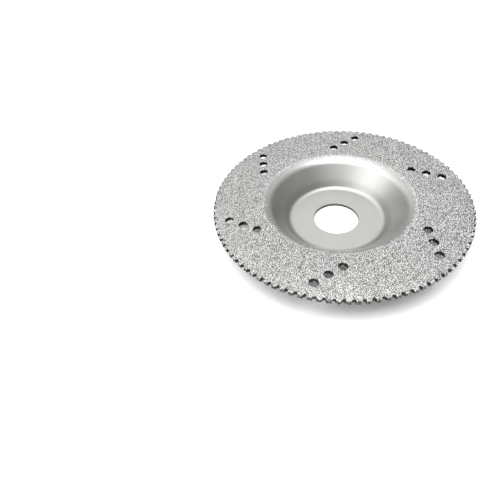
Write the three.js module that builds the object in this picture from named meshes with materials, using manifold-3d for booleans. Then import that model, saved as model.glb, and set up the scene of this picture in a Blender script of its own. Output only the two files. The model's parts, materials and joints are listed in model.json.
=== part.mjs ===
// A depressed-centre diamond grinding wheel with a toothed, perforated rim, in millimetres.
// +Z is the spindle axis. The origin is on the bore's axis, in the hub's back face, which the wheel
// rests on with its dish open upwards. Front is the dished side, back is the hub's side.

import * as THREE from "three";
import { mergeVertices } from "three/addons/utils/BufferGeometryUtils.js";
import Module from "manifold-3d";

const wasm = await Module();
wasm.setup();

// The pressed steel core.
const OUTER_DIAMETER = 110;
const BORE_DIAMETER = 20;
const STEEL_THICKNESS = 1.6;
const DISH_DEPTH = 11.5; // from the hub's front face to the rim's front face
const HUB_FLAT_RADIUS = 19.4; // where the flat hub ends and bends up into the cone
const RIM_FLAT_RADIUS = 33.7; // where the cone's shoulder ends and the flat rim begins
const HUB_BEND_RADIUS = 3.9; // both bends are given at the middle of the steel
const SHOULDER_BEND_RADIUS = 6.2;

// The abrasive on each face of the rim: a metal bond, and the grains that stand out of it.
const BOND_THICKNESS = 0.15;
const BOND_INNER_RADIUS = 33.9;
const GRIT_HEIGHT = 0.25;
const GRIT_INNER_RADIUS = 34.3;

// The teeth: narrow lands between gullets.
const TOOTH_COUNT = 100;
const GULLET_MOUTH = 1.8;
const GULLET_FLOOR = 0.9;
const GULLET_DEPTH = 1.45;

// The cooling holes: slanted rows through the rim.
const HOLE_DIAMETER = 4;
const HOLE_ROWS = 6;
const HOLES_PER_ROW = 3;
const ROW_START_RADIUS = 39; // the innermost hole of a row
const ROW_PITCH = 6.7;
const ROW_LEAN = THREE.MathUtils.degToRad(54.3); // off the radius, clockwise on the front

// How finely round shapes are divided.
const RING_SIDES = 72;
const HOLE_SIDES = 12;
const BEND_STEPS = 4;

// Worked out from the dimensions above.
const OUTER_RADIUS = OUTER_DIAMETER / 2;
const BORE_RADIUS = BORE_DIAMETER / 2;
const RIM_BACK = DISH_DEPTH;
const RIM_FRONT = DISH_DEPTH + STEEL_THICKNESS;
const CONE_ANGLE = coneAngle();

// The cone's slope, so that its two bends join the flat hub to the flat rim without a corner.
function coneAngle() {
  const run = RIM_FLAT_RADIUS - HUB_FLAT_RADIUS;
  const bends = HUB_BEND_RADIUS + SHOULDER_BEND_RADIUS;
  const rise = DISH_DEPTH - bends;
  return Math.asin(bends / Math.hypot(run, rise)) + Math.atan2(rise, run);
}

// Points round a circle, counter-clockwise.
function circle(x, y, radius, sides) {
  const points = [];
  for (let i = 0; i < sides; i++) {
    const angle = (2 * Math.PI * i) / sides;
    points.push(new THREE.Vector2(x + radius * Math.cos(angle), y + radius * Math.sin(angle)));
  }
  return points;
}

// Points along a bend of the sheet, from one angle to another.
function bend(centre, radius, from, to) {
  const points = [];
  for (let i = 0; i <= BEND_STEPS; i++) {
    const angle = THREE.MathUtils.lerp(from, to, i / BEND_STEPS);
    const x = centre.x + radius * Math.cos(angle);
    points.push(new THREE.Vector2(x, centre.y + radius * Math.sin(angle)));
  }
  return points;
}

// The toothed outline: each tooth is one land, then one gullet with a narrower floor.
function toothedOutline() {
  const pitch = (2 * Math.PI) / TOOTH_COUNT;
  const mouth = GULLET_MOUTH / 2 / OUTER_RADIUS;
  const floorRadius = OUTER_RADIUS - GULLET_DEPTH;
  const floor = GULLET_FLOOR / 2 / floorRadius;
  const points = [];
  for (let i = 0; i < TOOTH_COUNT; i++) {
    const gullet = (i + 0.5) * pitch;
    const corners = [
      [OUTER_RADIUS, gullet - mouth],
      [floorRadius, gullet - floor],
      [floorRadius, gullet + floor],
      [OUTER_RADIUS, gullet + mouth],
    ];
    for (const [radius, angle] of corners) {
      points.push(new THREE.Vector2(radius * Math.cos(angle), radius * Math.sin(angle)));
    }
  }
  return points;
}

// The centres of all the cooling holes, row by row from the innermost hole outwards.
function holeCentres() {
  const centres = [];
  for (let row = 0; row < HOLE_ROWS; row++) {
    const turn = (2 * Math.PI * row) / HOLE_ROWS;
    for (let hole = 0; hole < HOLES_PER_ROW; hole++) {
      const along = hole * ROW_PITCH;
      const x = ROW_START_RADIUS + along * Math.cos(ROW_LEAN);
      const y = -along * Math.sin(ROW_LEAN);
      centres.push(new THREE.Vector2(x, y).rotateAround(new THREE.Vector2(), turn));
    }
  }
  return centres;
}

// The rim's shape seen from the front, teeth and holes included, extruded between two heights.
function rimPlate(bottom, top, innerRadius) {
  const shape = new THREE.Shape(toothedOutline());
  for (const centre of holeCentres()) {
    shape.holes.push(new THREE.Path(circle(centre.x, centre.y, HOLE_DIAMETER / 2, HOLE_SIDES)));
  }
  if (innerRadius > 0) shape.holes.push(new THREE.Path(circle(0, 0, innerRadius, RING_SIDES)));
  const plate = new THREE.ExtrudeGeometry(shape, { depth: top - bottom, bevelEnabled: false });
  return plate.translate(0, 0, bottom);
}

// The sheet's section from the bore to past the rim: out along its front, and back along its back.
function sheetSection() {
  const half = STEEL_THICKNESS / 2;
  const hubCentre = new THREE.Vector2(HUB_FLAT_RADIUS, half + HUB_BEND_RADIUS);
  const shoulderCentre = new THREE.Vector2(RIM_FLAT_RADIUS, RIM_BACK + half - SHOULDER_BEND_RADIUS);
  const down = -Math.PI / 2;
  const up = Math.PI / 2;
  const past = OUTER_RADIUS + 1;
  const front = [
    new THREE.Vector2(BORE_RADIUS, STEEL_THICKNESS),
    ...bend(hubCentre, HUB_BEND_RADIUS - half, down, down + CONE_ANGLE),
    ...bend(shoulderCentre, SHOULDER_BEND_RADIUS + half, up + CONE_ANGLE, up),
    new THREE.Vector2(past, RIM_FRONT),
  ];
  const back = [
    new THREE.Vector2(past, RIM_BACK),
    ...bend(shoulderCentre, SHOULDER_BEND_RADIUS - half, up, up + CONE_ANGLE),
    ...bend(hubCentre, HUB_BEND_RADIUS + half, down + CONE_ANGLE, down),
    new THREE.Vector2(BORE_RADIUS, 0),
  ];
  return [...front, ...back, front[0]].reverse();
}

// A closed geometry as a solid for cutting.
function toSolid(geometry) {
  const bare = new THREE.BufferGeometry();
  bare.setAttribute("position", geometry.getAttribute("position"));
  bare.setIndex(geometry.getIndex());
  const merged = mergeVertices(bare, 1e-4);
  const vertProperties = merged.getAttribute("position").array;
  const triVerts = new Uint32Array(merged.getIndex().array);
  return new wasm.Manifold(new wasm.Mesh({ numProp: 3, vertProperties, triVerts }));
}

// A solid as a geometry with flat-shaded faces.
function toGeometry(solid) {
  const { vertProperties, triVerts } = solid.getMesh();
  const geometry = new THREE.BufferGeometry();
  geometry.setAttribute("position", new THREE.BufferAttribute(vertProperties, 3));
  geometry.setIndex(new THREE.BufferAttribute(triVerts, 1));
  const flat = geometry.toNonIndexed();
  flat.computeVertexNormals();
  return flat;
}

// The steel core: the pressed sheet, trimmed to the toothed outline and pierced.
function steelCore() {
  const sheet = new THREE.LatheGeometry(sheetSection(), RING_SIDES).rotateX(Math.PI / 2);
  const trim = rimPlate(-1, RIM_FRONT + 1, 0);
  return toGeometry(toSolid(sheet).intersect(toSolid(trim)));
}

function piece(name, geometry, color, roughness, metalness) {
  const material = new THREE.MeshStandardMaterial({ color, roughness, metalness });
  const mesh = new THREE.Mesh(geometry, material);
  mesh.name = name;
  return mesh;
}

const bondFront = RIM_FRONT + BOND_THICKNESS;
const bondBack = RIM_BACK - BOND_THICKNESS;
const frontBond = rimPlate(RIM_FRONT, bondFront, BOND_INNER_RADIUS);
const backBond = rimPlate(bondBack, RIM_BACK, BOND_INNER_RADIUS);
const frontGrit = rimPlate(bondFront, bondFront + GRIT_HEIGHT, GRIT_INNER_RADIUS);
const backGrit = rimPlate(bondBack - GRIT_HEIGHT, bondBack, GRIT_INNER_RADIUS);

const wheel = new THREE.Group();
wheel.add(piece("steel_core", steelCore(), 0xc9c9c6, 0.38, 1.0));
wheel.add(piece("front_bond_layer", frontBond, 0xa9a9a6, 0.5, 1.0));
wheel.add(piece("front_diamond_grit", frontGrit, 0xbebdb9, 0.6, 0.3));
wheel.add(piece("back_bond_layer", backBond, 0xa9a9a6, 0.5, 1.0));
wheel.add(piece("back_diamond_grit", backGrit, 0xbebdb9, 0.6, 0.3));

export default wheel;
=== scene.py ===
import json
import math

import bmesh
import bpy
from mathutils import Euler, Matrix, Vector, noise

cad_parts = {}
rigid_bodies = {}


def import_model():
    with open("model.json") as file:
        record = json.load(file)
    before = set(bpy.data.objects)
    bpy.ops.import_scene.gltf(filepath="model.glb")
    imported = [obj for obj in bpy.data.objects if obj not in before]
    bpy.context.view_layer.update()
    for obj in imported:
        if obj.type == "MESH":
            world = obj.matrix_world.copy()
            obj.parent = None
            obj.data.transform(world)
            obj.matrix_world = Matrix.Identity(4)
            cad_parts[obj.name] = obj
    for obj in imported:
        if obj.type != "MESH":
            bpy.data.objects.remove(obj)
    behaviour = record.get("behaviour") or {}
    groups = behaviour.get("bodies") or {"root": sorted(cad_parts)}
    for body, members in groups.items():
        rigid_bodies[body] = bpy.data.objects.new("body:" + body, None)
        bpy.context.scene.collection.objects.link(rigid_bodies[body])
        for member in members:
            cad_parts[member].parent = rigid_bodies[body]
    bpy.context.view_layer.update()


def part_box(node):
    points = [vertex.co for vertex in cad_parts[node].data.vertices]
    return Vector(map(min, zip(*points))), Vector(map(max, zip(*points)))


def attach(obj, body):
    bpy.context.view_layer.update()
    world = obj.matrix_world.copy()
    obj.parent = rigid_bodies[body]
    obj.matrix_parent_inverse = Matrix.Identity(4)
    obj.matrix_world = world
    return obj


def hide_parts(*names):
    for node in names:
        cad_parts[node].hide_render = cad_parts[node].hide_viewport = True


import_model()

mm = 0.001

# the wheel's own heights and radii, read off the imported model
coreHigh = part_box("steel_core")[1]
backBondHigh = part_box("back_bond_layer")[1]
frontBondLow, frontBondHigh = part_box("front_bond_layer")
tipRadius = coreHigh.x
rimFront = coreHigh.z
rimBack = backBondHigh.z
rimMiddle = (rimFront + rimBack) / 2
steelThick = rimFront - rimBack
bondThick = frontBondHigh.z - frontBondLow.z

sheetSizes = {
    "boreRadius": 10 * mm,
    "boreChamfer": 0.15 * mm,
    "hubFlat": 19.4 * mm,  # where the flat hub turns up into the cone
    "rimFlat": 33.7 * mm,  # where the shoulder runs out into the flat rim
    "hubBend": 3.9 * mm,  # both bends at the middle of the sheet
    "shoulderBend": 6.2 * mm,
    "bendSteps": 14,
    "turnSteps": 360,
    "tipCover": 0.26 * mm,  # room that the grains on the tooth tips take
    "crease": 28,  # degrees: edges sharper than this stay crisp
    "wallSlack": 1 * mm,  # margin in telling the punched walls from the rest
}

rimCuts = {
    "Tooth Count": 100,
    "Gullet Mouth": 1.8 * mm,
    "Gullet Depth": 1.45 * mm,
    "Row Count": 6,
    "Holes Per Row": 3,
    "Hole Radius": 2 * mm,
    "Row Start": 39 * mm,
    "Row Pitch": 6.7 * mm,
    "Row Lean": math.radians(54.3),
}
gulletSides = 36
holeSides = 48
cutLength = 8 * mm


class Wire:
    # wraps one socket, so that masks and measures are written as sums
    def __init__(self, tree, socket=None):
        self.tree = tree
        self.socket = socket

    def node(self, kind, settings=None, inputs=None, output=0):
        # any node: settings first, then a value, a wire or a list of wires for each input
        made = self.tree.nodes.new(kind)
        for key, value in (settings or {}).items():
            setattr(made, key, value)
        for key, given in (inputs or {}).items():
            for value in given if isinstance(given, list) else [given]:
                if isinstance(value, Wire):
                    self.tree.links.new(value.socket, made.inputs[key])
                else:
                    made.inputs[key].default_value = value
        return None if output is None else Wire(self.tree, made.outputs[output])

    def math(self, operation, first, second=0.0):
        return self.node("ShaderNodeMath", {"operation": operation}, {0: first, 1: second})

    def vector(self, operation, first, second=(0, 0, 0), output=0):
        return self.node("ShaderNodeVectorMath", {"operation": operation}, {0: first, 1: second}, output)

    def other(self, output):
        return Wire(self.tree, self.socket.node.outputs[output])

    def __add__(self, value):
        return self.math("ADD", self, value)

    def __radd__(self, value):
        return self.math("ADD", value, self)

    def __sub__(self, value):
        return self.math("SUBTRACT", self, value)

    def __rsub__(self, value):
        return self.math("SUBTRACT", value, self)

    def __mul__(self, value):
        return self.math("MULTIPLY", self, value)

    def __truediv__(self, value):
        return self.math("DIVIDE", self, value)

    def __rtruediv__(self, value):
        return self.math("DIVIDE", value, self)

    def __gt__(self, value):
        return self.math("GREATER_THAN", self, value)

    def __lt__(self, value):
        return self.math("LESS_THAN", self, value)

    def __pow__(self, value):
        return self.math("POWER", self, value)


# shapes that several pieces share


def coneAngle():
    run = sheetSizes["rimFlat"] - sheetSizes["hubFlat"]
    bends = sheetSizes["hubBend"] + sheetSizes["shoulderBend"]
    rise = rimBack - bends
    return math.asin(bends / math.hypot(run, rise)) + math.atan2(rise, run)


def sheetLine(lift):
    # (radius, height) along the two bends, lifted off the middle of the sheet
    slope = coneAngle()
    steps = sheetSizes["bendSteps"]
    hubHeight = steelThick / 2 + sheetSizes["hubBend"]
    hubReach = sheetSizes["hubBend"] - lift
    rimHeight = rimMiddle - sheetSizes["shoulderBend"]
    rimReach = sheetSizes["shoulderBend"] + lift
    points = []
    for i in range(steps + 1):
        turn = slope * i / steps
        radius = sheetSizes["hubFlat"] + hubReach * math.sin(turn)
        points.append((radius, hubHeight - hubReach * math.cos(turn)))
    for i in range(steps + 1):
        turn = slope * (1 - i / steps)
        radius = sheetSizes["rimFlat"] - rimReach * math.sin(turn)
        points.append((radius, rimHeight + rimReach * math.cos(turn)))
    return points


def faceHeight(radius, side):
    # height of the bare sheet's face on the rim and shoulder: side is 1 for front, -1 for back
    flat = rimFront if side > 0 else rimBack
    inside = max(0.0, sheetSizes["rimFlat"] - radius)
    reach = sheetSizes["shoulderBend"] + side * steelThick / 2
    return flat - reach + math.sqrt(reach * reach - inside * inside)


def tidyMesh(mesh):
    work = bmesh.new()
    work.from_mesh(mesh)
    bmesh.ops.remove_doubles(work, verts=work.verts, dist=1e-7)
    bmesh.ops.recalc_face_normals(work, faces=work.faces)
    work.to_mesh(mesh)
    work.free()
    return mesh


def revolve(name, section):
    # turns a closed section of (radius, height) round the axis
    turns = sheetSizes["turnSteps"]
    count = len(section)
    verts = []
    for i in range(turns):
        angle = math.tau * i / turns
        verts += [(r * math.cos(angle), r * math.sin(angle), z) for r, z in section]
    faces = []
    for i in range(turns):
        here = i * count
        there = (i + 1) % turns * count
        for j in range(count):
            k = (j + 1) % count
            faces.append((here + j, there + j, there + k, here + k))
    mesh = bpy.data.meshes.new(name)
    mesh.from_pydata(verts, [], faces)
    return tidyMesh(mesh)


def smoothMesh(mesh, crease):
    # smooth faces, with edges sharper than the crease left crisp
    work = bmesh.new()
    work.from_mesh(mesh)
    for face in work.faces:
        face.smooth = True
    for edge in work.edges:
        edge.smooth = edge.calc_face_angle(0.0) < crease
    work.to_mesh(mesh)
    work.free()


def markWalls(mesh):
    # the punched walls: of the holes and gullets in the rim, and of the bore
    rimWall = mesh.attributes.new("rimWall", "FLOAT", "FACE")
    boreWall = mesh.attributes.new("boreWall", "FLOAT", "FACE")
    rimFrom = sheetSizes["rimFlat"] + sheetSizes["wallSlack"]
    boreTo = sheetSizes["boreRadius"] + sheetSizes["wallSlack"]
    for face in mesh.polygons:
        reach = math.hypot(face.center.x, face.center.y)
        upright = abs(face.normal.z) < 0.5
        rimWall.data[face.index].value = float(upright and reach > rimFrom)
        boreWall.data[face.index].value = float(upright and reach < boreTo)


def addObject(name, mesh):
    made = bpy.data.objects.new(name, mesh)
    bpy.context.scene.collection.objects.link(made)
    return made


# geometry node trees


def startTree(name, inputs):
    tree = bpy.data.node_groups.new(name, "GeometryNodeTree")
    tree.interface.new_socket(name="Geometry", in_out="INPUT", socket_type="NodeSocketGeometry")
    for label, kind in inputs.items():
        tree.interface.new_socket(name=label, in_out="INPUT", socket_type="NodeSocket" + kind)
    tree.interface.new_socket(name="Geometry", in_out="OUTPUT", socket_type="NodeSocketGeometry")
    return tree, Wire(tree).node("NodeGroupInput", output="Geometry")


def endTree(entry, result, material):
    whole = entry.node("GeometryNodeRealizeInstances", None, {"Geometry": result})
    painted = entry.node("GeometryNodeSetMaterial", None, {"Geometry": whole, "Material": material})
    entry.node("NodeGroupOutput", None, {"Geometry": painted}, None)


def runTree(host, tree, values, name):
    # runs a tree on a host object and keeps the result as a plain mesh
    modifier = host.modifiers.new(tree.name, "NODES")
    modifier.node_group = tree
    for item in tree.interface.items_tree:
        if item.item_type == "SOCKET" and item.in_out == "INPUT" and item.name in values:
            modifier[item.identifier] = values[item.name]
    bpy.context.view_layer.update()
    shown = host.evaluated_get(bpy.context.evaluated_depsgraph_get())
    mesh = bpy.data.meshes.new_from_object(shown)
    mesh.name = name
    host.modifiers.remove(modifier)
    return mesh


def buildCutTree():
    # cuts the gullets round the edge and the rows of holes through the rim
    kinds = {
        "Outer Radius": "Float",
        "Cut Height": "Float",
        "Cut Length": "Float",
        "Tooth Count": "Int",
        "Gullet Mouth": "Float",
        "Gullet Depth": "Float",
        "Row Count": "Int",
        "Holes Per Row": "Int",
        "Hole Radius": "Float",
        "Row Start": "Float",
        "Row Pitch": "Float",
        "Row Lean": "Float",
        "Material": "Material",
    }
    tree, entry = startTree("rimCuts", kinds)
    get = entry.other
    index = entry.node("GeometryNodeInputIndex")

    # one gullet between each two lands
    turn = (index + 0.5) * math.tau / get("Tooth Count")
    across = get("Outer Radius") * entry.math("COSINE", turn)
    along = get("Outer Radius") * entry.math("SINE", turn)
    around = entry.node("ShaderNodeCombineXYZ", None, {"X": across, "Y": along, "Z": get("Cut Height")})
    teeth = entry.node("GeometryNodePoints", None, {"Count": get("Tooth Count"), "Position": around})
    gulletShape = {"Vertices": gulletSides, "Radius": 1.0, "Depth": 1.0}
    shape = entry.node("GeometryNodeMeshCylinder", None, gulletShape)
    half = get("Gullet Mouth") * 0.5
    lengths = {"X": get("Gullet Depth"), "Y": half, "Z": get("Cut Length")}
    size = entry.node("ShaderNodeCombineXYZ", None, lengths)
    facing = entry.node("ShaderNodeCombineXYZ", None, {"Z": turn})
    placed = {"Points": teeth, "Instance": shape, "Rotation": facing, "Scale": size}
    gullets = entry.node("GeometryNodeInstanceOnPoints", None, placed)

    # slanted rows: a hole's number gives its row and its place in the row
    count = get("Row Count") * get("Holes Per Row")
    place = entry.math("MODULO", index, get("Holes Per Row")) * get("Row Pitch")
    row = entry.math("FLOOR", (index + 0.5) / get("Holes Per Row"))
    outward = get("Row Start") + place * entry.math("COSINE", get("Row Lean"))
    sideways = place * entry.math("SINE", get("Row Lean")) * -1.0
    first = entry.node("ShaderNodeCombineXYZ", None, {"X": outward, "Y": sideways, "Z": get("Cut Height")})
    rowTurn = {"Vector": first, "Angle": row * math.tau / get("Row Count")}
    spot = entry.node("ShaderNodeVectorRotate", {"rotation_type": "Z_AXIS"}, rowTurn)
    centres = entry.node("GeometryNodePoints", None, {"Count": count, "Position": spot})
    drillSizes = {"Vertices": holeSides, "Radius": get("Hole Radius"), "Depth": get("Cut Length")}
    drill = entry.node("GeometryNodeMeshCylinder", None, drillSizes)
    holes = entry.node("GeometryNodeInstanceOnPoints", None, {"Points": centres, "Instance": drill})

    joined = entry.node("GeometryNodeJoinGeometry", None, {0: [gullets, holes]})
    cutters = entry.node("GeometryNodeRealizeInstances", None, {"Geometry": joined})
    settings = {"operation": "DIFFERENCE", "solver": "EXACT"}
    cut = entry.node("GeometryNodeMeshBoolean", settings, {"Mesh 1": entry, "Mesh 2": cutters})
    endTree(entry, cut, get("Material"))
    return tree


def buildGrainTree():
    # sets crystals into a host surface, thinning out unevenly towards an inner radius
    kinds = {
        "Crystals": "Collection",
        "Spacing": "Float",
        "Density": "Float",
        "Smallest": "Float",
        "Largest": "Float",
        "Stand Out": "Float",
        "Fade From": "Float",
        "Fade To": "Float",
        "Fade Waver": "Float",
        "Waver Scale": "Float",
        "Clump Size": "Float",
        "Clumping": "Float",
        "Edge Shade": "Float",
        "Share From": "Float",
        "Share To": "Float",
        "Seed": "Int",
        "Material": "Material",
    }
    tree, entry = startTree("grainScatter", kinds)
    get = entry.other

    def draw(low, high, step):
        ends = {2: low, 3: high, "Seed": get("Seed") + step}
        return entry.node("FunctionNodeRandomValue", {"data_type": "FLOAT"}, ends, 1)

    place = entry.node("GeometryNodeInputPosition")
    radius = entry.vector("LENGTH", entry.vector("MULTIPLY", place, (1, 1, 0)), output="Value")
    waver = {"Vector": place, "Scale": get("Waver Scale"), "Detail": 2.0}
    wander = entry.node("ShaderNodeTexNoise", None, waver)
    ragged = radius + (wander - 0.5) * get("Fade Waver")
    reach = (ragged - get("Fade From")) / (get("Fade To") - get("Fade From"))
    within = entry.node("ShaderNodeClamp", None, {"Value": reach})
    scatter = {
        "Mesh": entry,
        "Distance Min": get("Spacing"),
        "Density Max": get("Density"),
        "Density Factor": within,
        "Seed": get("Seed"),
    }
    poisson = {"distribute_method": "POISSON"}
    spots = entry.node("GeometryNodeDistributePointsOnFaces", poisson, scatter, "Points")
    facing = spots.other("Normal")

    # every shade keeps its own share of one and the same scatter, in loose clumps
    clumps = {"Vector": place, "Scale": 1.0 / get("Clump Size"), "Detail": 1.0}
    clump = entry.node("ShaderNodeTexNoise", None, clumps)
    # painted shade: towards the ragged inner edge the draw leans to the darker shares
    lot = draw(0.0, 1.0, 0) + (clump - 0.5) * get("Clumping") + (1 - within) * get("Edge Shade")
    kept = (lot > get("Share From")) * (lot < get("Share To") + 0.0001)
    picked = {"Geometry": spots, "Selection": kept}
    spots = entry.node("GeometryNodeSeparateGeometry", {"domain": "POINT"}, picked, "Selection")

    # a large crystal sits deeper, so that all of them stand out alike
    size = draw(get("Smallest"), get("Largest"), 2)
    rise = {0: facing, "Scale": get("Stand Out") - size}
    lift = entry.node("ShaderNodeVectorMath", {"operation": "SCALE"}, rise)
    spots = entry.node("GeometryNodeSetPosition", None, {"Geometry": spots, "Offset": lift})
    shelf = {"Collection": get("Crystals"), "Separate Children": True, "Reset Children": True}
    shapes = entry.node("GeometryNodeCollectionInfo", None, shelf)
    turns = {0: (0, 0, 0), 1: (math.tau, math.tau, math.tau), "Seed": get("Seed") + 1}
    turn = entry.node("FunctionNodeRandomValue", {"data_type": "FLOAT_VECTOR"}, turns, 0)
    picks = {4: 0, 5: 99, "Seed": get("Seed") + 3}
    kind = entry.node("FunctionNodeRandomValue", {"data_type": "INT"}, picks, 2)
    placed = {
        "Points": spots,
        "Instance": shapes,
        "Pick Instance": True,
        "Instance Index": kind,
        "Rotation": turn,
        "Scale": size,
    }
    endTree(entry, entry.node("GeometryNodeInstanceOnPoints", None, placed), get("Material"))
    return tree


# materials


def startMaterial(name):
    material = bpy.data.materials.new(name)
    material.use_nodes = True
    material.node_tree.nodes.clear()
    return material, Wire(material.node_tree)


def finishMaterial(material, pen, sockets):
    shader = pen.node("ShaderNodeBsdfPrincipled", None, sockets)
    pen.node("ShaderNodeOutputMaterial", None, {"Surface": shader}, None)
    return material


def noiseAt(pen, vector, scale, detail=3.0):
    return pen.node("ShaderNodeTexNoise", None, {"Vector": vector, "Scale": scale, "Detail": detail})


def blend(pen, share, first, second):
    # a colour between two colours
    first, second = ((*c, 1) if isinstance(c, tuple) else c for c in (first, second))
    return pen.node("ShaderNodeMix", {"data_type": "RGBA"}, {0: share, 6: first, 7: second}, 2)


def ramped(pen, value, low, high):
    ends = {"Value": value, "From Min": low, "From Max": high}
    return pen.node("ShaderNodeMapRange", {"interpolation_type": "SMOOTHSTEP"}, ends)


steelLook = {
    "bright": (0.435, 0.435, 0.424),
    "dull": (0.36, 0.36, 0.347),
    "speck": (0.16, 0.155, 0.15),
    "punched": (0.05, 0.049, 0.048),  # oxide scale on the walls of the holes and gullets, drawn darker still as painted shade
    "burnished": (0.17, 0.17, 0.16),  # the bore's wall, and its rough lower part where the sheet tore, drawn near black as a painted shadow
    "tornPaintedShadow": (0.02, 0.02, 0.019),
    "tornHeight": 0.85 * mm,
    "tornFade": 0.12 * mm,
    "tornWaver": 0.3 * mm,
    "roughness": 0.36,
    "hubRoughness": 0.12,  # added on the flat hub, which is duller than the cone
    "hubTo": 1.0 * mm,  # heights above the hub's face, here and for the crease
    "streaks": 38.0,
    "streakPull": 12.0,  # how fast a streak changes along the cone
    "cloudScale": 90.0,
    "grainScale": 5200.0,
    "speckScale": 420.0,
    "speckSize": 0.2 * mm,
    "speckShare": 0.13,
    "paintedCreaseShade": 0.3,  # painted shade: a little darker where the cone meets the hub
    "creaseFrom": 4.5 * mm,
    "creaseTo": 2.0 * mm,
}


def satinSteel():
    look = steelLook
    material, pen = startMaterial("satinSteel")
    place = pen.node("ShaderNodeTexCoord", output="Object")
    flat = pen.vector("MULTIPLY", place, (1, 1, 0))
    radius = pen.vector("LENGTH", flat, output="Value")
    height = pen.node("ShaderNodeSeparateXYZ", None, {"Vector": place}, "Z")
    wall = pen.node("ShaderNodeAttribute", {"attribute_name": "rimWall"}, None, "Fac")
    bore = pen.node("ShaderNodeAttribute", {"attribute_name": "boreWall"}, None, "Fac")
    # fine streaks down the cone, from the drawing of the sheet
    along = pen.node("ShaderNodeCombineXYZ", None, {"Z": radius * look["streakPull"]})
    streakPlace = pen.vector("ADD", pen.vector("NORMALIZE", flat), along)
    streak = noiseAt(pen, streakPlace, look["streaks"], 2.0)
    cloud = noiseAt(pen, place, look["cloudScale"], 4.0)
    grain = noiseAt(pen, place, look["grainScale"], 2.0)
    hub = ramped(pen, height, steelThick + look["hubTo"], steelThick + 0.1 * mm)
    # sparse dark specks
    spots = {"Vector": place, "Scale": look["speckScale"]}
    cells = pen.node("ShaderNodeTexVoronoi", {"feature": "F1"}, spots)
    pick = pen.node("ShaderNodeSeparateColor", None, {"Color": cells.other("Color")}, "Red")
    near = cells < look["speckSize"] * look["speckScale"]
    speck = near * (pick < look["speckShare"])
    colour = blend(pen, cloud * 0.7 + streak * 0.3, look["dull"], look["bright"])
    # painted shade in the front's crease: above the hub's bend and fading up the cone
    fadeOut = steelThick + look["creaseFrom"]
    fullShade = steelThick + look["creaseTo"]
    crease = ramped(pen, height, fadeOut, fullShade) * (1 - hub)
    colour = blend(pen, crease * look["paintedCreaseShade"], colour, look["speck"])
    colour = blend(pen, speck * 0.8, colour, look["speck"])
    # painted shade, with the oxide scale: the walls of the holes and gullets go dark
    colour = blend(pen, wall, colour, look["punched"])
    # painted shadow: the bore's wall goes near black low down, where the sheet tore
    ragged = height + (cloud - 0.5) * look["tornWaver"]
    tornPaintedShadow = ramped(pen, ragged, look["tornHeight"], look["tornHeight"] - look["tornFade"])
    colour = blend(pen, bore, colour, blend(pen, tornPaintedShadow, look["burnished"], look["tornPaintedShadow"]))
    rough = look["roughness"] - 0.06 + streak * 0.07 + cloud * 0.07
    rough = rough + hub * look["hubRoughness"] + speck * 0.2 + wall * 0.25
    relief = grain * 0.5 + streak * 0.8 + wall * grain * 2.0
    bump = pen.node("ShaderNodeBump", None, {"Height": relief, "Strength": 0.1, "Distance": 0.03 * mm})
    sockets = {"Base Color": colour, "Roughness": rough, "Normal": bump, "Metallic": 1.0}
    return finishMaterial(material, pen, sockets)


bondLook = {
    # painted shade: the pits between the grains are drawn dark
    "pit": (0.09, 0.09, 0.088),
    "plate": (0.46, 0.46, 0.45),
    "bare": (0.36, 0.36, 0.355),  # where it thins out over the shoulder
    "bareFrom": 33.6 * mm,
    "bareTo": 32.2 * mm,
    # painted shade on the walls of the holes and gullets
    "punched": (0.04, 0.039, 0.038),
    "roughness": 0.42,
    "pitScale": 2600.0,
    "cloudScale": 120.0,
}


def nickelBond():
    look = bondLook
    material, pen = startMaterial("nickelBond")
    place = pen.node("ShaderNodeTexCoord", output="Object")
    wall = pen.node("ShaderNodeAttribute", {"attribute_name": "rimWall"}, None, "Fac")
    pit = noiseAt(pen, place, look["pitScale"], 3.0)
    cloud = noiseAt(pen, place, look["cloudScale"], 3.0)
    flat = pen.vector("MULTIPLY", place, (1, 1, 0))
    radius = pen.vector("LENGTH", flat, output="Value")
    bare = ramped(pen, radius + (pit - 0.5) * 1.5 * mm, look["bareFrom"], look["bareTo"])
    # painted shade in the pits, laid by a noise over the plate's colour
    colour = blend(pen, ramped(pen, pit, 0.35, 0.65), look["pit"], look["plate"])
    colour = blend(pen, bare, colour, look["bare"])
    # painted shade: the walls of the holes and gullets go dark
    colour = blend(pen, wall, colour, look["punched"])
    rough = look["roughness"] + cloud * 0.12 + pit * 0.1 - bare * 0.08
    bump = pen.node("ShaderNodeBump", None, {"Height": pit, "Strength": 0.55, "Distance": 0.12 * mm})
    sockets = {"Base Color": colour, "Roughness": rough, "Normal": bump, "Metallic": 1.0}
    return finishMaterial(material, pen, sockets)


# three shades of grain: each takes its share of the scatter
grainShades = {
    "Pale": {"share": (-3.0, 0.69), "low": (0.84, 0.84, 0.83), "high": (0.98, 0.98, 0.97), "roughness": 0.2},
    "Grey": {"share": (0.69, 0.83), "low": (0.42, 0.42, 0.41), "high": (0.74, 0.74, 0.73), "roughness": 0.26},
    "Dark": {"share": (0.83, 3.0), "low": (0.03, 0.03, 0.03), "high": (0.13, 0.13, 0.127), "roughness": 0.3},
}


grainTint = {
    "driftScale": 1000.0,  # from grain to grain
    "hazeScale": 7000.0,  # within a grain
    "patchScale": 28.0,
    "greenish": (0.985, 1.0, 0.955),
    "violet": (1.0, 0.975, 1.0),
}


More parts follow.
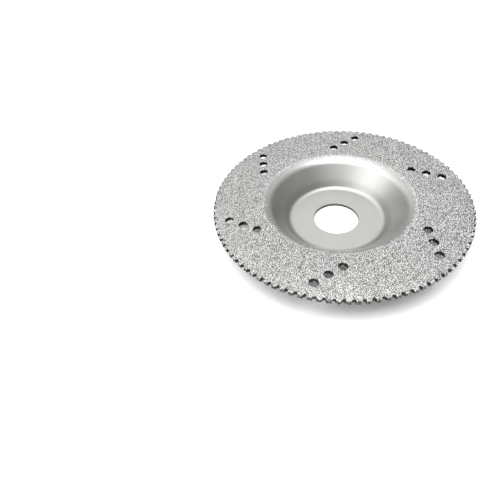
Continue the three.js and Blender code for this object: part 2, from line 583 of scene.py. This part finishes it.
def grainMaterial(name, shade):
    # cloudy crystal: the tint drifts from grain to grain and within each
    material, pen = startMaterial("grain" + name)
    place = pen.node("ShaderNodeTexCoord", output="Object")
    drift = noiseAt(pen, place, grainTint["driftScale"], 1.0)
    haze = noiseAt(pen, place, grainTint["hazeScale"], 2.0)
    colour = blend(pen, ramped(pen, drift * 0.8 + haze * 0.2, 0.36, 0.64), shade["low"], shade["high"])
    # broad patches that lean a little to green or to violet
    patch = ramped(pen, noiseAt(pen, place, grainTint["patchScale"], 1.0), 0.35, 0.65)
    cast = blend(pen, patch, grainTint["greenish"], grainTint["violet"])
    colour = pen.vector("MULTIPLY", colour, cast)
    rough = shade["roughness"] - 0.08 + haze * 0.2
    bump = pen.node("ShaderNodeBump", None, {"Height": haze, "Strength": 0.15, "Distance": 0.02 * mm})
    sockets = {"Base Color": colour, "Roughness": rough, "Normal": bump, "IOR": 2.2}
    return finishMaterial(material, pen, sockets)


# the steel core


def coreSection():
    half = steelThick / 2
    bore = sheetSizes["boreRadius"]
    nick = sheetSizes["boreChamfer"]
    tip = tipRadius - sheetSizes["tipCover"]
    front = [(bore, steelThick - nick), (bore + nick, steelThick), *sheetLine(half), (tip, rimFront)]
    back = [(tip, rimBack), *reversed(sheetLine(-half)), (bore + nick, 0.0), (bore, nick)]
    return front + back


def cutValues(outerRadius, lining, material):
    # the lining narrows the cuts where a coating runs over their edges
    values = dict(rimCuts)
    values["Hole Radius"] -= lining
    values["Gullet Mouth"] -= 2 * lining
    values["Gullet Depth"] -= lining
    values["Outer Radius"] = outerRadius
    values["Cut Height"] = rimMiddle
    values["Cut Length"] = cutLength
    values["Material"] = material
    return values


def cutPiece(name, section, cutTree, values, crease):
    blank = addObject(name + "Blank", revolve(name, section))
    mesh = runTree(blank, cutTree, values, name)
    smoothMesh(mesh, math.radians(crease))
    markWalls(mesh)
    bpy.data.objects.remove(blank)
    return addObject(name, mesh)


# the bond on each face of the rim

bondSizes = {
    "innerRadius": 30.7 * mm,  # the bond thins out to nothing on the shoulder
    "fullRadius": 33.0 * mm,
    "innerSteps": 12,
    "overTip": 0.05 * mm,
    "edgeRound": 0.08 * mm,
    "edgeSteps": 4,
    "sunk": 0.03 * mm,
    "lining": 0.06 * mm,
    "crease": 35,
}


def bondSection(side):
    sizes = bondSizes
    tip = tipRadius - sheetSizes["tipCover"] + sizes["overTip"]
    outside = []
    inside = []
    for i in range(sizes["innerSteps"] + 1):
        share = i / sizes["innerSteps"]
        radius = sizes["innerRadius"] + share * (sizes["fullRadius"] - sizes["innerRadius"])
        rise = bondThick * share * share * (3 - 2 * share)
        outside.append((radius, faceHeight(radius, side) + side * rise))
        inside.append((radius, faceHeight(radius, side) - side * sizes["sunk"]))
    top = faceHeight(tip, side) + side * bondThick
    turned = sizes["edgeRound"]
    for i in range(sizes["edgeSteps"] + 1):
        angle = math.pi / 2 * i / sizes["edgeSteps"]
        radius = tip - turned + turned * math.sin(angle)
        outside.append((radius, top - side * turned * (1 - math.cos(angle))))
    inside.append((tip, faceHeight(tip, side) - side * sizes["sunk"]))
    return outside + inside[::-1]


# the diamond grains

crystalSizes = {
    "kinds": 7,
    "corners": 7,
    "jitter": 0.55,  # of the ball's radius
}

grainSizes = {
    "Spacing": 0.57 * mm,
    "Density": 12.0e6,  # per square metre, before the spacing thins it
    "Smallest": 0.23 * mm,
    "Largest": 0.36 * mm,
    "Stand Out": 0.22 * mm,
    "Fade From": 30.3 * mm,
    "Fade To": 32.6 * mm,
    "Fade Waver": 2.2 * mm,
    "Waver Scale": 700.0,
    "Clump Size": 1.3 * mm,
    "Clumping": 1.4,
    "Edge Shade": 1.0,  # painted shade: lone grains at the ragged inner edge are drawn darker, standing in for the shade they throw on the bare steel
}

grainSeeds = {"front": 11, "back": 31, "tip": 51}

# where the tips differ
tipSizes = {
    "Smallest": 0.12 * mm,
    "Largest": 0.19 * mm,
    "Stand Out": 0.16 * mm,
    "Spacing": 0.42 * mm,
}


def makeCrystal(number):
    # a blocky crystal: the hull of a few corners spread evenly over a ball and then disturbed
    corners = crystalSizes["corners"] + number % 2
    golden = math.pi * (3 - math.sqrt(5))
    work = bmesh.new()
    for i in range(corners):
        height = 1 - 2 * (i + 0.5) / corners
        reach = math.sqrt(1 - height * height)
        point = Vector((reach * math.cos(golden * i), reach * math.sin(golden * i), height))
        stir = noise.cell_vector(Vector((number * 3.1, i * 1.7, 0.5))) - Vector((0.5, 0.5, 0.5))
        point = (point + stir * crystalSizes["jitter"]).normalized()
        point *= 0.86 + 0.14 * noise.cell(Vector((number * 5.3, i * 2.9, 7.5)))
        work.verts.new(point)
    bmesh.ops.convex_hull(work, input=work.verts)
    loose = [v for v in work.verts if not v.link_faces]
    bmesh.ops.delete(work, geom=loose, context="VERTS")
    bmesh.ops.recalc_face_normals(work, faces=work.faces)
    mesh = bpy.data.meshes.new("crystal")
    work.to_mesh(mesh)
    work.free()
    return mesh


def makeCrystals():
    shelf = bpy.data.collections.new("crystals")
    for number in range(crystalSizes["kinds"]):
        shelf.objects.link(bpy.data.objects.new(f"crystal{number}", makeCrystal(number)))
    return shelf


def clearCrystals(shelf):
    for crystal in list(shelf.objects):
        bpy.data.objects.remove(crystal)
    bpy.data.collections.remove(shelf)


def facesOf(piece, keep):
    # a host made of the faces of a piece that pass a test
    work = bmesh.new()
    work.from_mesh(piece.data)
    work.normal_update()
    unwanted = [f for f in work.faces if not keep(f)]
    bmesh.ops.delete(work, geom=unwanted, context="FACES")
    mesh = bpy.data.meshes.new("host")
    work.to_mesh(mesh)
    work.free()
    return addObject("host", mesh)


def tipFace(face):
    middle = face.calc_center_median()
    reach = math.hypot(middle.x, middle.y)
    return abs(face.normal.z) < 0.3 and reach > tipRadius - sheetSizes["tipCover"] - 0.1 * mm


def makeGrains(side, host, grainTree, shelf, paints, changes=None):
    # one scatter on the host, as a piece for each shade
    values = {"Crystals": shelf, "Seed": grainSeeds[side], **grainSizes, **(changes or {})}
    pieces = []
    for name, shade in grainShades.items():
        values["Share From"], values["Share To"] = shade["share"]
        values["Material"] = paints[name]
        label = side + name + "Grains"
        pieces.append(addObject(label, runTree(host, grainTree, values, label)))
    bpy.data.objects.remove(host)
    return pieces


# build the wheel

steelPaint = satinSteel()
bondPaint = nickelBond()
grainPaints = {name: grainMaterial(name, shade) for name, shade in grainShades.items()}
cutTree = buildCutTree()
grainTree = buildGrainTree()

coreCuts = cutValues(tipRadius, 0.0, steelPaint)
core = cutPiece("pressedCore", coreSection(), cutTree, coreCuts, sheetSizes["crease"])
print("core pressed, toothed and pierced")
bondCuts = cutValues(tipRadius + bondSizes["overTip"], bondSizes["lining"], bondPaint)
frontBond = cutPiece("frontBond", bondSection(1), cutTree, bondCuts, bondSizes["crease"])
backBond = cutPiece("backBond", bondSection(-1), cutTree, bondCuts, bondSizes["crease"])
print("bond laid on both faces")

crystals = makeCrystals()
frontHost = facesOf(frontBond, lambda face: face.normal.z > 0.4)
backHost = facesOf(backBond, lambda face: face.normal.z < -0.4)
tipHost = facesOf(core, tipFace)
frontGrains = makeGrains("front", frontHost, grainTree, crystals, grainPaints)
backGrains = makeGrains("back", backHost, grainTree, crystals, grainPaints)
tipGrains = makeGrains("tip", tipHost, grainTree, crystals, grainPaints, tipSizes)
clearCrystals(crystals)
print("grains set")

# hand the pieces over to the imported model
pieces = {core: ("satin_steel", "steel_core")}
pieces[frontBond] = ("nickel_bond", "front_bond_layer")
pieces[backBond] = ("nickel_bond", "back_bond_layer")
pieces.update({piece: ("diamond_grit", "front_diamond_grit") for piece in frontGrains})
pieces.update({piece: ("diamond_grit", "back_diamond_grit") for piece in backGrains})
pieces.update({piece: ("diamond_grit", None) for piece in tipGrains})
for piece, (slot, node) in pieces.items():
    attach(piece, "root")
    if node:
        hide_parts(node)
    piece.data.calc_loop_triangles()
    print(f"  {piece.name}: {len(piece.data.loop_triangles)} triangles")


# studio

studio = {
    "floorSize": 3.0,
    "floorColour": (0.94, 0.94, 0.94),
    "floorRoughness": 0.9,
    "skyNear": 0.37,  # the dim side, where the viewer stands
    "skyFar": 1.85,
    "skyTurn": 1.4,  # how late it brightens between the two
    "skyLow": 0.33,  # how much of it is left at the horizon
    "climbFrom": 0.3,
    "climbTo": 0.65,
    "skyLeft": 2.9,  # a broad soft glow from the left
    "leftAzimuth": math.radians(-101),
    "leftElevation": math.radians(38),
    "leftFocus": 6.0,
}

topSoftbox = {
    "azimuth": math.radians(-20),
    "elevation": math.radians(82),
    "distance": 0.55,
    "size": 0.5,
    "power": 2.8,
}

cameraSetup = {
    "lens": 28.47,
    "azimuth": math.radians(-18.66),
    "elevation": math.radians(47.03),
    "roll": math.radians(-7.84),
    "distance": 157.5 * mm,
    "aimAcross": (-46.09 * mm, -8.38 * mm),  # where the view's centre meets the rim's plane
}


def backDirection(azimuth, elevation):
    flat = math.cos(elevation)
    return Vector((math.sin(azimuth) * flat, -math.cos(azimuth) * flat, math.sin(elevation)))


def makeFloor():
    half = studio["floorSize"] / 2
    mesh = bpy.data.meshes.new("floor")
    corners = [(-half, -half, 0), (half, -half, 0), (half, half, 0), (-half, half, 0)]
    mesh.from_pydata(corners, [], [(0, 1, 2, 3)])
    material, pen = startMaterial("paleFloor")
    sockets = {"Base Color": (*studio["floorColour"], 1), "Roughness": studio["floorRoughness"]}
    mesh.materials.append(finishMaterial(material, pen, sockets))
    addObject("floor", mesh)


def makeSky():
    world = bpy.data.worlds.new("paleRoom")
    world.use_nodes = True
    world.node_tree.nodes.clear()
    pen = Wire(world.node_tree)
    look = pen.node("ShaderNodeTexCoord", output="Generated")
    away = backDirection(cameraSetup["azimuth"], 0.0) * -1.0
    facing = pen.vector("DOT_PRODUCT", look, away, "Value")
    near = studio["skyNear"]
    strength = near + (facing * 0.5 + 0.5) ** studio["skyTurn"] * (studio["skyFar"] - near)
    left = backDirection(studio["leftAzimuth"], studio["leftElevation"])
    glow = pen.math("MAXIMUM", pen.vector("DOT_PRODUCT", look, left, "Value"), 0.0)
    strength = strength + glow ** studio["leftFocus"] * studio["skyLeft"]
    low = studio["skyLow"]
    height = pen.node("ShaderNodeSeparateXYZ", None, {"Vector": look}, "Z")
    climb = ramped(pen, height, studio["climbFrom"], studio["climbTo"])
    strength = strength * (low + climb * (1 - low))
    sky = pen.node("ShaderNodeBackground", None, {"Color": (1, 1, 1, 1), "Strength": strength})
    pen.node("ShaderNodeOutputWorld", None, {"Surface": sky}, None)
    bpy.context.scene.world = world


def makeSoftbox():
    setup = topSoftbox
    lamp = bpy.data.lights.new("topSoftbox", "AREA")
    lamp.shape = "DISK"
    lamp.size = setup["size"]
    lamp.energy = setup["power"]
    made = bpy.data.objects.new("topSoftbox", lamp)
    back = backDirection(setup["azimuth"], setup["elevation"])
    made.location = Vector((0, 0, rimFront)) + back * setup["distance"]
    made.rotation_euler = back.to_track_quat("Z", "Y").to_euler()
    bpy.context.scene.collection.objects.link(made)


def makeCamera():
    setup = cameraSetup
    lens = bpy.data.cameras.new("camera")
    lens.lens = setup["lens"]
    lens.sensor_width = 36
    lens.clip_start = 1 * mm
    camera = bpy.data.objects.new("camera", lens)
    back = backDirection(setup["azimuth"], setup["elevation"])
    aim = Vector((*setup["aimAcross"], rimMiddle))
    upright = back.to_track_quat("Z", "Y")
    camera.location = aim + back * setup["distance"]
    camera.rotation_euler = (upright @ Euler((0, 0, setup["roll"])).to_quaternion()).to_euler()
    bpy.context.scene.collection.objects.link(camera)
    bpy.context.scene.camera = camera


makeFloor()
makeSky()
makeSoftbox()
makeCamera()
bpy.context.scene.view_settings.view_transform = "Standard"
print("studio lit")
